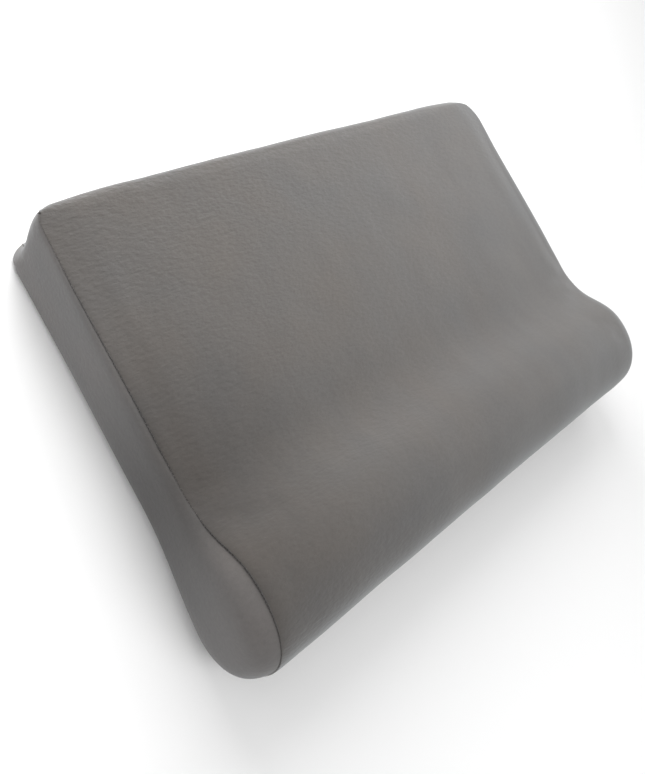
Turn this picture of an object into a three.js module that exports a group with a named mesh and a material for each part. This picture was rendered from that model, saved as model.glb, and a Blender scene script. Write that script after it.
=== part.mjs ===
// A contour neck pillow: a filled body in one long wrap of brushed knit, and a cloth end panel at each end.
// Millimetres, +Z up. X runs along the pillow, the high roll lies at -Y and the flat slab at +Y.
// The origin is on the surface the pillow lies on, under the middle of its length and depth.

import * as THREE from 'three';

// Driving dimensions of the whole pillow
const SEAM_LENGTH = 603; // from one end seam to the other
const DEPTH = 404; // from the nose of the roll to the back edge
const ROLL_HEIGHT = 106.6;
const WAIST_HEIGHT = 73.2;
const BACK_HEIGHT = 78.2;

// Places along the depth, from the middle
const NOSE_Y = -DEPTH / 2;
const BACK_BOW = 2; // the back edge swells this much at the middle of the length
const NOSE_BOW = 0.9; // and the nose draws in by this much
const BACK_Y = DEPTH / 2 - BACK_BOW;
const CREST_Y = -136.4; // top of the roll
const WAIST_Y = -38.3;
const NOSE_Z = 46.8; // height of the foremost line of the roll

// Roundings of the profile
const FRONT_RADIUS = 50.7; // under the roll
const TOP_EDGE_RADIUS = 8;
const BOTTOM_EDGE_RADIUS = 11.2;
const BACK_LEAN = 2; // the top back edge stands this far behind the bottom one
const QUARTER = 0.5523; // handle of a cubic curve that follows a quarter circle
const NOSE_FULLNESS = 0.59; // the same handle on the roll, which is a little fuller than an ellipse

// Handles of the soft wave between the back edge, the waist and the crest
const SLAB_SAG = 4.4;
const WAIST_SLOPE = 0.096;
const SLAB_HANDLE = 0.33;
const WAIST_BACK_HANDLE = 0.28;
const WAIST_FRONT_HANDLE = 0.55;
const CREST_HANDLE = 0.44;

// How the cover is drawn in
const END_ROUNDING = 13.2; // length over which the wrap turns in to the seam
const SEAM_INSET = 3.2; // how far the seam lies inside the full profile
const PINCH_AT_SEAM = 8; // the back wall is pulled in between its edges
const PINCH_AT_MIDDLE = 2;
const PINCH_FADE = 80;

// End panels
const CLOTH = 2.5; // knit with its backing
const GAP = 0.95;
const SEAM_GROOVE = 1.3;
const BULGE_AT_ROLL = 20.6;
const BULGE_AT_BACK = 1.7;
const BULGE_ROLL_Y = -162; // where the bulge is fullest
const BULGE_BACK_Y = 178; // and where it has died away
const BULGE_EASE = 6.8; // the bulge rises over about this distance from the seam

// The two ends aren't filled quite alike: cornerRadius rounds the back corner, seen from above
const LEFT_END = { side: -1, cornerRadius: 18, waistBulge: 6.5 };
const RIGHT_END = { side: 1, cornerRadius: 32, waistBulge: 9.5 };

// Steps of the meshes
const STEPS = { slab: 10, wave: 9, topEdge: 4, wall: 5, bottomEdge: 4, noseTop: 7, noseUnder: 7 };
const ROWS_FROM_SEAM = [0, 1, 3.9, 8.1, END_ROUNDING, 18, 24, 32, 44, 60, PINCH_FADE, 150, 225];
const PANEL_RINGS = [0, 1.2, 3, 6.5, 12, 20, 28]; // distances in from the rim
const LEAST_REACH = 33; // where the middle line is nearer than this, the rings crowd together

const smooth = (t) => THREE.MathUtils.smoothstep(t, 0, 1);
const flat = ([y, z]) => new THREE.Vector2(y, z);
const cubic = (...handles) => new THREE.CubicBezierCurve(...handles.map(flat));

// The closed profile as stations { y, z, pinch, spine }: spine is the place on the middle line, and two
// stations above each other share one, so that an end face can be laced from its rim to that line.
function profileStations() {
  const slabTop = BACK_Y - TOP_EDGE_RADIUS;
  const slab = slabTop - WAIST_Y;
  const wave = WAIST_Y - CREST_Y;
  const slabCurve = cubic(
    [slabTop, BACK_HEIGHT],
    [slabTop - SLAB_HANDLE * slab, BACK_HEIGHT - SLAB_SAG],
    [WAIST_Y + WAIST_BACK_HANDLE * slab, WAIST_HEIGHT + WAIST_SLOPE * WAIST_BACK_HANDLE * slab],
    [WAIST_Y, WAIST_HEIGHT],
  );
  const waveCurve = cubic(
    [WAIST_Y, WAIST_HEIGHT],
    [WAIST_Y - WAIST_FRONT_HANDLE * wave, WAIST_HEIGHT - WAIST_SLOPE * WAIST_FRONT_HANDLE * wave],
    [CREST_Y + CREST_HANDLE * wave, ROLL_HEIGHT],
    [CREST_Y, ROLL_HEIGHT],
  );
  const noseTop = cubic(
    [CREST_Y, ROLL_HEIGHT],
    [CREST_Y - NOSE_FULLNESS * (CREST_Y - NOSE_Y), ROLL_HEIGHT],
    [NOSE_Y, NOSE_Z + NOSE_FULLNESS * (ROLL_HEIGHT - NOSE_Z)],
    [NOSE_Y, NOSE_Z],
  );
  const noseUnder = cubic(
    [NOSE_Y, NOSE_Z],
    [NOSE_Y, NOSE_Z * (1 - NOSE_FULLNESS)],
    [NOSE_Y + FRONT_RADIUS * (1 - NOSE_FULLNESS), 0],
    [NOSE_Y + FRONT_RADIUS, 0],
  );
  const footY = BACK_Y - BACK_LEAN;
  const bottomEdge = cubic(
    [footY - BOTTOM_EDGE_RADIUS, 0],
    [footY - BOTTOM_EDGE_RADIUS * (1 - QUARTER), 0],
    [footY, BOTTOM_EDGE_RADIUS * (1 - QUARTER)],
    [footY, BOTTOM_EDGE_RADIUS],
  );
  const topEdge = cubic(
    [BACK_Y, BACK_HEIGHT - TOP_EDGE_RADIUS],
    [BACK_Y, BACK_HEIGHT - TOP_EDGE_RADIUS * (1 - QUARTER)],
    [BACK_Y - TOP_EDGE_RADIUS * (1 - QUARTER), BACK_HEIGHT],
    [slabTop, BACK_HEIGHT],
  );

  // Top from back to front: its first point belongs to the fan at the back, and the rest make the middle line
  const top = [...slabCurve.getPoints(STEPS.slab).slice(0, -1), ...waveCurve.getPoints(STEPS.wave)];
  const paired = top.slice(1);
  const last = paired.length - 1;
  const stations = [];
  const add = (point, spine, pinch = 0) => stations.push({ y: point.x, z: point.y, spine, pinch });

  paired.forEach((point, k) => add(point, k));
  noseTop.getPoints(STEPS.noseTop).slice(1).forEach((point) => add(point, last));
  noseUnder.getPoints(STEPS.noseUnder).slice(1).forEach((point) => add(point, last));
  for (let k = last; k >= 0; k -= 1) add(new THREE.Vector2(paired[k].x, 0), k);
  bottomEdge.getPoints(STEPS.bottomEdge).forEach((point) => add(point, 0));
  for (let k = 1; k < STEPS.wall; k += 1) {
    const t = k / STEPS.wall;
    const from = new THREE.Vector2(footY, BOTTOM_EDGE_RADIUS);
    const to = new THREE.Vector2(BACK_Y, BACK_HEIGHT - TOP_EDGE_RADIUS);
    add(from.lerp(to, t), 0, Math.sin(Math.PI * t) ** 2);
  }
  topEdge.getPoints(STEPS.topEdge).forEach((point) => add(point, 0));
  return { stations, spineY: paired.map((point) => point.x), spineZ: paired.map((point) => point.y / 2) };
}

const PROFILE = profileStations();

// The profile drawn in by an inset, with its back wall pulled in, at a distance from the seam
function section(fromSeam, inset) {
  const near = smooth(1 - fromSeam / PINCH_FADE);
  const pinch = THREE.MathUtils.lerp(PINCH_AT_MIDDLE, PINCH_AT_SEAM, near);
  const points = PROFILE.stations.map((s) => new THREE.Vector2(s.y - pinch * s.pinch, s.z));
  return points.map((point, i) => {
    const before = points.at(i - 1);
    const after = points[(i + 1) % points.length];
    const inward = new THREE.Vector2(before.y - after.y, after.x - before.x).normalize();
    return inward.multiplyScalar(inset).add(point);
  });
}

// Puts a point on its end of the pillow. Seen from above, the back corners are round: a square corner is
// mapped onto a quarter of a disc.
function place(x, y, z, { side, cornerRadius }) {
  const across = (x - (SEAM_LENGTH / 2 - cornerRadius)) / cornerRadius;
  const back = (y - (BACK_Y - cornerRadius)) / cornerRadius;
  if (across <= 0 || back <= 0) return new THREE.Vector3(side * x, y, z);
  const shrinkX = Math.sqrt(1 - Math.min(back, 1) ** 2 / 2);
  const shrinkY = Math.sqrt(1 - Math.min(across, 1) ** 2 / 2);
  const roundX = SEAM_LENGTH / 2 - cornerRadius * (1 - across * shrinkX);
  return new THREE.Vector3(side * roundX, BACK_Y - cornerRadius * (1 - back * shrinkY), z);
}

// One cross-section of the wrap, at a distance in from an end's seam
function wrapRow(fromSeam, end) {
  const turned = Math.min(fromSeam / END_ROUNDING, 1);
  const inset = SEAM_INSET * (1 - Math.sqrt(1 - (1 - turned) ** 2));
  const x = SEAM_LENGTH / 2 - fromSeam;
  const bow = 1 - (x / (SEAM_LENGTH / 2)) ** 2;
  return section(fromSeam, inset).map(({ x: y, y: z }) => {
    const back = Math.max(y, 0) / BACK_Y;
    const front = Math.max(-y, 0) / -NOSE_Y;
    return place(x, y + BACK_BOW * bow * back + NOSE_BOW * bow * front, z, end);
  });
}

// The end panel: its rim lies just inside the seam, and it bulges out along X
const RIM = section(0, SEAM_INSET + SEAM_GROOVE);
const SPINE = PROFILE.spineY.map((y, k) => new THREE.Vector2(y, PROFILE.spineZ[k]));

function rimDistance(point) {
  const nearest = new THREE.Vector3();
  const probe = new THREE.Vector3(point.x, point.y, 0);
  const distances = RIM.map((start, i) => {
    const end = RIM[(i + 1) % RIM.length];
    const edge = new THREE.Line3(new THREE.Vector3(start.x, start.y, 0), new THREE.Vector3(end.x, end.y, 0));
    return edge.closestPointToPoint(probe, true, nearest).distanceTo(probe);
  });
  return Math.min(...distances);
}

function bulge(point, { waistBulge }) {
  const toRoll = smooth((WAIST_Y - point.x) / (WAIST_Y - BULGE_ROLL_Y));
  const toBack = smooth((point.x - WAIST_Y) / (BULGE_BACK_Y - WAIST_Y));
  const height = waistBulge + (BULGE_AT_ROLL - waistBulge) * toRoll + (BULGE_AT_BACK - waistBulge) * toBack;
  return height * (1 - Math.exp(-rimDistance(point) / BULGE_EASE));
}

// Outward direction of the panel's face above a point of the profile
function faceNormal(point, end) {
  const step = 0.1;
  const slope = (dy, dz) => {
    const ahead = bulge(new THREE.Vector2(point.x + dy, point.y + dz), end);
    const behind = bulge(new THREE.Vector2(point.x - dy, point.y - dz), end);
    return (ahead - behind) / (2 * step);
  };
  return new THREE.Vector3(1, -slope(step, 0), -slope(0, step)).normalize();
}

// The face at a depth under the outside of the panel, as rings from the rim to the middle line
function endFace(depth, rimShift, end) {
  const spineOf = PROFILE.stations.map((s) => SPINE[s.spine]);
  const lift = (point, normal, shift) => {
    const lifted = new THREE.Vector3(SEAM_LENGTH / 2 + bulge(point, end), point.x, point.y);
    lifted.addScaledVector(normal, -depth).add(shift);
    return place(lifted.x, lifted.y, lifted.z, end);
  };
  const rings = PANEL_RINGS.map((distance, ring) => RIM.map((rim, i) => {
    const reach = Math.max(rim.distanceTo(spineOf[i]), LEAST_REACH);
    const point = rim.clone().lerp(spineOf[i], distance / reach);
    if (ring > 0) return lift(point, faceNormal(point, end), new THREE.Vector3());
    const normal = faceNormal(rim.clone().lerp(spineOf[i], 2 * SEAM_GROOVE / reach), end);
    const inward = spineOf[i].clone().sub(rim).normalize();
    const along = new THREE.Vector3(0, inward.x, inward.y).projectOnPlane(normal).normalize();
    return lift(point, normal, along.multiplyScalar(-rimShift));
  }));
  const spine = SPINE.map((point) => lift(point, new THREE.Vector3(1, 0, 0), new THREE.Vector3()));
  return { rings, spine };
}

// A closed skin put together from rings of points
class Skin {
  constructor() {
    this.points = [];
    this.triangles = [];
  }

  add(points) {
    return points.map((point) => this.points.push(point) - 1);
  }

  bridge(from, to) {
    from.forEach((a, i) => {
      const j = (i + 1) % from.length;
      this.triangles.push([a, from[j], to[j]], [a, to[j], to[i]]);
    });
  }

  // Laces a ring to the middle line; flipped on the side where the line comes first
  close(ring, spine, flipped) {
    ring.forEach((a, i) => {
      const j = (i + 1) % ring.length;
      const here = spine[PROFILE.stations[i].spine];
      const next = spine[PROFILE.stations[j].spine];
      const faces = here === next ? [[a, ring[j], here]] : [[a, ring[j], next], [a, next, here]];
      faces.forEach((face) => this.triangles.push(flipped ? face.reverse() : face));
    });
  }

  geometry() {
    const volume = this.triangles.reduce((sum, [a, b, c]) => {
      const [p, q, r] = [a, b, c].map((index) => this.points[index]);
      return sum + p.dot(q.clone().cross(r)) / 6;
    }, 0);
    const outward = volume > 0 ? this.triangles : this.triangles.map(([a, b, c]) => [a, c, b]);
    const geometry = new THREE.BufferGeometry().setFromPoints(this.points);
    geometry.setIndex(outward.flat());
    geometry.computeVertexNormals();
    return geometry;
  }
}

// A closed skin through rings of points, laced to a middle line before the first and after the last ring
function skinThrough(firstSpine, rings, lastSpine) {
  const skin = new Skin();
  const added = rings.map((ring) => skin.add(ring));
  added.slice(1).forEach((ring, i) => skin.bridge(added[i], ring));
  skin.close(added[0], skin.add(firstSpine), true);
  skin.close(added.at(-1), skin.add(lastSpine), false);
  return skin.geometry();
}

function filledBody() {
  const [left, right] = [LEFT_END, RIGHT_END].map((end) => {
    const face = endFace(CLOTH + GAP, GAP, end);
    const rows = ROWS_FROM_SEAM.map((fromSeam) => wrapRow(fromSeam, end));
    return { spine: face.spine, rings: [...face.rings.slice().reverse(), ...rows] };
  });
  const middle = wrapRow(SEAM_LENGTH / 2, RIGHT_END);
  return skinThrough(left.spine, [...left.rings, middle, ...right.rings.reverse()], right.spine);
}

function endPanel(end) {
  const outer = endFace(0, 0, end);
  const inner = endFace(CLOTH, 0, end);
  return skinThrough(outer.spine, [...outer.rings.reverse(), ...inner.rings], inner.spine);
}

// Grey brushed knit: matt, the end panels a shade cooler
const wrapCloth = { color: 0x7a7674, roughness: 0.95, metalness: 0 };
const panelCloth = { color: 0x747372, roughness: 0.95, metalness: 0 };

function piece(name, geometry, cloth) {
  const mesh = new THREE.Mesh(geometry, new THREE.MeshStandardMaterial(cloth));
  mesh.name = name;
  return mesh;
}

const pillow = new THREE.Group();
pillow.add(
  piece('filled_body', filledBody(), wrapCloth),
  piece('end_panel_left', endPanel(LEFT_END), panelCloth),
  piece('end_panel_right', endPanel(RIGHT_END), panelCloth),
);

export default pillow;
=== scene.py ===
"""Looks of a contour neck pillow: foam in one long wrap of brushed knit, with a cloth panel at each end.

Lengths are in millimetres until a mesh is made. +Z is up, X runs along the pillow, the high roll lies
at -Y and the flat slab at +Y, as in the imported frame.
"""

import logging
import math
from dataclasses import dataclass, field, replace
from enum import Enum
from functools import partial

import bpy
import numpy as np
from mathutils import Euler, Matrix, Vector


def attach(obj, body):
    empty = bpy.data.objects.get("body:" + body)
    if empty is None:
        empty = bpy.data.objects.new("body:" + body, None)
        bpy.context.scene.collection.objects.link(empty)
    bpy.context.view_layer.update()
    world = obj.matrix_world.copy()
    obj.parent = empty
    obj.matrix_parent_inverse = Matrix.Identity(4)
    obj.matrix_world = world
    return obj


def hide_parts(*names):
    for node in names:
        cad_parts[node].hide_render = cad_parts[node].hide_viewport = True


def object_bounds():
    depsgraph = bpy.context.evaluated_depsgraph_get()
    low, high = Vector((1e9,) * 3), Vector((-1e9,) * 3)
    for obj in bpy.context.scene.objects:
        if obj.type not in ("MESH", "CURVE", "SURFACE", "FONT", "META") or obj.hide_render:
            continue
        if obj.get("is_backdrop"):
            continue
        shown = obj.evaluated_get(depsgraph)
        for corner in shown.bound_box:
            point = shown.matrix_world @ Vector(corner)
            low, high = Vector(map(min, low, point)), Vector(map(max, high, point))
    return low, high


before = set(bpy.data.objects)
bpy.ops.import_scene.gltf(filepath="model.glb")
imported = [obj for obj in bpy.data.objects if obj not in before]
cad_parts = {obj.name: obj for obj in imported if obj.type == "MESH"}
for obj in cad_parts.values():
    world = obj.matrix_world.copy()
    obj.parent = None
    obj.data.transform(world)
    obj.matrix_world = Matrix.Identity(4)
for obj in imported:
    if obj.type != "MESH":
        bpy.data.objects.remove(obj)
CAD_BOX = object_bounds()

MM = 0.001
CURVE_SAMPLES = 400
QUARTER = 0.5523  # how far a cubic's handles reach towards the corner of a quarter circle
log = logging.getLogger("pillow")


class End(Enum):
    """The two ends of the pillow, by the sign of X."""

    LEFT = -1
    RIGHT = 1


class Nap(Enum):
    """The way that a cloth's pile is brushed: along U or along V of its UV map."""

    ALONG_U = (1.0, 0.22)
    ALONG_V = (0.22, 1.0)


def smoothstep(value: np.ndarray) -> np.ndarray:
    """Clips numbers to 0..1 and eases them in and out."""
    clipped = np.clip(value, 0.0, 1.0)
    return clipped * clipped * (3.0 - 2.0 * clipped)


def cubic(handles: list[tuple[float, float]], steps: int) -> np.ndarray:
    """Samples a cubic Bezier curve at even distances along it.

    Args:
        handles: Its four points, as (y, z).
        steps: The number of pieces it is cut into.

    Returns:
        The steps + 1 points, as an array of (y, z).
    """
    t = np.linspace(0.0, 1.0, CURVE_SAMPLES)[:, None]
    a, b, c, d = (np.array(p, float) for p in handles)
    dense = a * (1 - t) ** 3 + 3 * b * t * (1 - t) ** 2 + 3 * c * t**2 * (1 - t) + d * t**3
    run = np.concatenate([[0.0], np.cumsum(np.linalg.norm(np.diff(dense, axis=0), axis=1))])
    at = np.linspace(0.0, run[-1], steps + 1)
    return np.stack([np.interp(at, run, dense[:, 0]), np.interp(at, run, dense[:, 1])], axis=1)


@dataclass(frozen=True)
class SmoothField:
    """Soft, seeded unevenness in space, about -1 to 1, with features of a given size."""

    size: float
    seed: int
    waves: int = 28
    spread: tuple[float, float] = (0.7, 1.6)  # of the waves' lengths
    gain: float = 0.6

    def at(self, points: np.ndarray) -> np.ndarray:
        """Reads the field.

        Args:
            points: Places in millimetres, one a row.

        Returns:
            One number for each place.
        """
        rng = np.random.default_rng(self.seed)
        direction = rng.normal(size=(self.waves, 3))
        direction /= np.linalg.norm(direction, axis=1)[:, None]
        pitch = self.size * rng.uniform(*self.spread, self.waves)
        phase = rng.uniform(0.0, 2 * math.pi, self.waves)
        angle = points @ (direction * (2 * math.pi / pitch)[:, None]).T + phase
        return np.cos(angle).sum(axis=1) * math.sqrt(2.0 / self.waves) * self.gain


@dataclass(frozen=True)
class Profile:
    """The pillow's closed cross-section, as stations from the back over the roll and under."""

    points: np.ndarray
    pinch: np.ndarray
    middle: np.ndarray
    middle_line: np.ndarray


@dataclass(frozen=True)
class PillowForm:
    """Sizes of the whole pillow, and where each point of its cover lies."""

    seam_length: float = 603.0
    depth: float = 404.0
    roll_height: float = 106.6
    waist_height: float = 73.2
    back_height: float = 78.2
    back_bow: float = 2.0
    back_full: float = 2.8  # how much fuller the back edge is between the seams,
    back_full_over: float = 80.0  # from this distance off them
    far_lift: float = 2.2  # how much higher the back edge lies towards the far end,
    far_lift_from: float = -120.0  # from this X on
    far_lift_over: float = 300.0
    nose_bow: float = 0.9
    crest_y: float = -136.4
    waist_y: float = -38.3
    nose_z: float = 46.8
    front_radius: float = 50.7
    top_edge_radius: float = 8.0
    bottom_edge_radius: float = 11.2
    back_lean: float = 2.0
    nose_fullness: float = 0.59
    slab_sag: float = 4.4
    waist_slope: float = 0.096
    end_rounding: float = 13.2
    pinch_at_seam: float = 11.5
    pinch_low: float = 0.7  # less than 1 pulls the wall in most below its middle
    pinch_at_middle: float = 2.0
    pinch_fade: float = 80.0
    bulge_at_roll: float = 20.6
    bulge_at_back: float = 1.7
    bulge_roll_y: float = -162.0
    bulge_back_y: float = 178.0
    bulge_ease: float = 6.8
    corner_radius: dict[End, float] = field(default_factory=lambda: {End.LEFT: 18.0, End.RIGHT: 36.0})
    waist_bulge: dict[End, float] = field(default_factory=lambda: {End.LEFT: 6.5, End.RIGHT: 9.5})
    roll_starts: dict[End, float] = field(default_factory=lambda: {End.LEFT: 1.0, End.RIGHT: 0.62})
    seam_turn_top: float = 1.5  # the seam goes round the back corner: 1 leaves it on the corner's middle
    seam_turn_low: float = 3.3
    seam_turns_at: float = 76.0
    seam_turns_over: float = 14.0
    corner_pull: float = 3.0  # how much further in a back corner lies, low on the wall
    corner_low: tuple[float, float] = (20.0, 26.0)  # it does so in full between these heights,
    corner_fades: float = 34.0  # and less and less over this height above them
    corner_narrow: float = 1.5
    station_step: float = 5.0
    edge_steps: int = 7
    middle_start: float = 36.0  # how far from the back edge an end's middle line starts

    @property
    def back_y(self) -> float:
        """The back edge at the seams."""
        return self.depth / 2 - self.back_bow

    @property
    def nose_y(self) -> float:
        """The foremost line of the roll at the seams."""
        return -self.depth / 2

    def profile(self) -> Profile:
        """Lays out the stations of the cross-section.

        Returns:
            The profile. A station on top and the one under it share a place on the middle line, so that
            an end can be closed from its rim to that line.
        """
        slab_top = self.back_y - self.top_edge_radius
        slab = slab_top - self.waist_y
        wave = self.waist_y - self.crest_y
        waist = (self.waist_y, self.waist_height)
        slope = self.waist_slope
        over_nose, under_nose = 95.0, 75.0  # about the lengths of the nose's two curves

        def steps(length: float) -> int:
            return max(4, round(length / self.station_step))

        def rounded(*handles: tuple[float, float]) -> np.ndarray:
            start, corner, end = np.array(handles)
            towards = [start + (corner - start) * QUARTER, end + (corner - end) * QUARTER]
            return cubic([start, *towards, end], self.edge_steps)

        slab_curve = cubic([
            (slab_top, self.back_height),
            (slab_top - 0.33 * slab, self.back_height - self.slab_sag),
            (self.waist_y + 0.28 * slab, self.waist_height + slope * 0.28 * slab),
            waist,
        ], steps(slab))
        wave_curve = cubic([
            waist,
            (self.waist_y - 0.55 * wave, self.waist_height - slope * 0.55 * wave),
            (self.crest_y + 0.44 * wave, self.roll_height),
            (self.crest_y, self.roll_height),
        ], steps(wave))
        full = self.nose_fullness
        nose_top = cubic([
            (self.crest_y, self.roll_height),
            (self.crest_y - full * (self.crest_y - self.nose_y), self.roll_height),
            (self.nose_y, self.nose_z + full * (self.roll_height - self.nose_z)),
            (self.nose_y, self.nose_z),
        ], steps(over_nose))
        nose_under = cubic([
            (self.nose_y, self.nose_z),
            (self.nose_y, self.nose_z * (1 - full)),
            (self.nose_y + self.front_radius * (1 - full), 0.0),
            (self.nose_y + self.front_radius, 0.0),
        ], steps(under_nose))
        foot = self.back_y - self.back_lean
        low, high = self.bottom_edge_radius, self.top_edge_radius
        bottom_edge = rounded((foot - low, 0.0), (foot, 0.0), (foot, low))
        edge = (self.back_y, self.back_height)
        top_edge = rounded((edge[0], edge[1] - high), edge, (slab_top, edge[1]))
        rise = np.linspace(0.0, 1.0, steps(self.back_height - low - high) + 1)[1:-1]
        wall = np.outer(1 - rise, [foot, low]) + np.outer(rise, [self.back_y, self.back_height - high])

        paired = np.concatenate([slab_curve[:-1], wave_curve])[1:]
        first = int(np.argmax(paired[:, 0] < self.back_y - self.middle_start))
        order = np.maximum(np.arange(len(paired)), first) - first
        last = order[-1]
        parts = [
            (paired, order),
            (nose_top[1:], np.full(len(nose_top) - 1, last)),
            (nose_under[1:], np.full(len(nose_under) - 1, last)),
            (np.stack([paired[::-1, 0], np.zeros(len(paired))], axis=1), order[::-1]),
            (bottom_edge, np.zeros(len(bottom_edge), int)),
            (wall, np.zeros(len(wall), int)),
            (top_edge, np.zeros(len(top_edge), int)),
        ]
        before_wall = sum(len(points) for points, _ in parts[:5])
        points = np.concatenate([points for points, _ in parts])
        pinch = np.zeros(len(points))
        pinch[before_wall : before_wall + len(wall)] = np.sin(math.pi * rise**self.pinch_low) ** 2
        line = paired[first:] * [1.0, 0.5]
        return Profile(points, pinch, np.concatenate([middle for _, middle in parts]), line)

    def section(self, profile: Profile, from_seam: float, inset: float | np.ndarray) -> np.ndarray:
        """The cross-section drawn in from its full size, with its back wall pulled in.

        Args:
            profile: The stations.
            from_seam: The distance to the nearest end seam.
            inset: How far the outline is drawn in, for all the stations or for each.

        Returns:
            One (y, z) for each station.
        """
        near = smoothstep(np.array(1 - from_seam / self.pinch_fade))
        pull = self.pinch_at_middle + (self.pinch_at_seam - self.pinch_at_middle) * near
        points = profile.points.copy()
        points[:, 0] -= pull * profile.pinch
        run = np.roll(points, 1, axis=0) - np.roll(points, -1, axis=0)
        inward = np.stack([run[:, 1], -run[:, 0]], axis=1)
        inward /= np.linalg.norm(inward, axis=1)[:, None]
        return points + inward * np.broadcast_to(inset, len(points))[:, None]

    def on_slab(self, y: np.ndarray) -> np.ndarray:
        """Eases from 0 at the waist to 1 at the back edge."""
        return smoothstep((y - self.waist_y) / (self.back_y - self.waist_y))

    def place(self, points: np.ndarray, end: End) -> np.ndarray:
        """Puts points on an end of the pillow, where the back corner is round as seen from above.

        Args:
            points: One (x, y, z) a row, with x outwards from the middle of the length.
            end: The end.

        Returns:
            The points in the frame.
        """
        radius = self.corner_radius[end]
        centre_x, centre_y = self.seam_length / 2 - radius, self.back_y - radius
        across = (points[:, 0] - centre_x) / radius
        back = (points[:, 1] - centre_y) / radius
        disc_x = across * np.sqrt(1 - np.clip(back, 0, 1) ** 2 / 2)
        disc_y = back * np.sqrt(1 - np.clip(across, 0, 1) ** 2 / 2)
        reach = np.hypot(disc_x, disc_y)
        turn = np.arctan2(disc_y, disc_x) / (math.pi / 2)
        low = smoothstep((self.seam_turns_at - points[:, 2]) / self.seam_turns_over)
        power = self.seam_turn_top + (self.seam_turn_low - self.seam_turn_top) * low
        turn = (1 - np.clip(1 - turn, 0, 1) ** power) * (math.pi / 2)
        drawn = smoothstep(points[:, 2] / self.corner_low[0])
        drawn = drawn * (1 - smoothstep((points[:, 2] - self.corner_low[1]) / self.corner_fades))
        waisted = drawn * np.clip(np.sin(2 * turn), 0, 1) ** self.corner_narrow
        reach = reach * (1 - self.corner_pull / radius * waisted)
        corner = (across > 0) & (back > 0)
        x = end.value * np.where(corner, centre_x + radius * reach * np.cos(turn), points[:, 0])
        y = np.where(corner, centre_y + radius * reach * np.sin(turn), points[:, 1])
        far = smoothstep((x - self.far_lift_from) / self.far_lift_over)
        lift = self.far_lift * self.on_slab(y) * far * points[:, 2] / self.back_height
        return np.stack([x, y, points[:, 2] + lift], axis=1)

    def bulge(
        self,
        rim: np.ndarray,
        points: np.ndarray,
        end: End,
        swell: tuple[np.ndarray, float, float],
    ) -> np.ndarray:
        """How far an end panel stands out past the seam.

        Args:
            rim: The panel's rim, one (y, z) a row.
            points: Places on the panel, one (y, z) a row.
            end: The end.
            swell: The extra height beside each point of the rim, and the distances over which it rises
                and fades.

        Returns:
            One height for each place.
        """
        ahead = np.roll(rim, -1, axis=0) - rim
        offset = points[:, None, :] - rim[None, :, :]
        along = np.clip((offset * ahead).sum(2) / (ahead * ahead).sum(1), 0, 1)
        distances = np.linalg.norm(offset - along[..., None] * ahead, axis=2)
        nearest = distances.argmin(axis=1)
        distance = distances[np.arange(len(points)), nearest]
        weight = 1 / (distances + 0.5) ** 4
        extra = (weight * swell[0]).sum(1) / weight.sum(1)
        extra = extra * (1 - np.exp(-distance / swell[1])) * np.exp(-distance / swell[2])
        y = points[:, 0]
        to_roll = np.clip((self.waist_y - y) / (self.waist_y - self.bulge_roll_y), 0, 1)
        to_roll = smoothstep(to_roll ** self.roll_starts[end])
        to_back = smoothstep((y - self.waist_y) / (self.bulge_back_y - self.waist_y))
        waist = self.waist_bulge[end]
        height = waist + (self.bulge_at_roll - waist) * to_roll + (self.bulge_at_back - waist) * to_back
        return height * (1 - np.exp(-distance / self.bulge_ease)) + extra


@dataclass(frozen=True)
class SeamStations:
    """How the end seam looks at each station of a profile."""

    inset: np.ndarray
    groove: np.ndarray
    swell: np.ndarray

    @property
    def lip(self) -> np.ndarray:
        """The share of its full width that the rounded edge beside the groove has."""
        return np.minimum(1.0, 0.12 + 1.7 * self.groove)


@dataclass(frozen=True)
class SeamLook:
    """How an end seam looks along its length, which starts on top of the slab, at the back edge.

    Each row holds a distance along the seam, how far inside the full profile the wrap's edge lies there,
    the width of the groove, and how far the panel swells out right beside it.
    """

    rows: tuple[tuple[float, float, float, float], ...] = (
        (0, 1.2, 0.02, 1.2), (30, 1.4, 0.04, 1.6), (60, 2.2, 0.3, 1.9), (200, 2.4, 0.45, 1.9),
        (226, 1.4, 0.05, 1.2), (254, 1.0, 0.02, 0.4), (276, 2.8, 0.9, 0.0), (330, 3.2, 1.1, 0.0),
        (352, 2.6, 0.5, 0.4), (385, 1.6, 0.25, 1.4), (405, 1.0, 0.1, 1.7), (470, 0.9, 0.1, 1.7),
        (520, 1.6, 0.2, 0.8), (820, 2.2, 0.2, 0.4), (900, 1.2, 0.04, 0.6), (990, 1.2, 0.05, 1.2),
    )

    def at(self, profile: Profile) -> SeamStations:
        """Reads the look at each station.

        Args:
            profile: The stations.

        Returns:
            The look there.
        """
        run = np.linalg.norm(np.diff(profile.points, axis=0), axis=1)
        distance = np.concatenate([[0.0], np.cumsum(run)])
        rows = np.array(self.rows, float)
        return SeamStations(*(np.interp(distance, rows[:, 0], rows[:, k]) for k in (1, 2, 3)))


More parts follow.
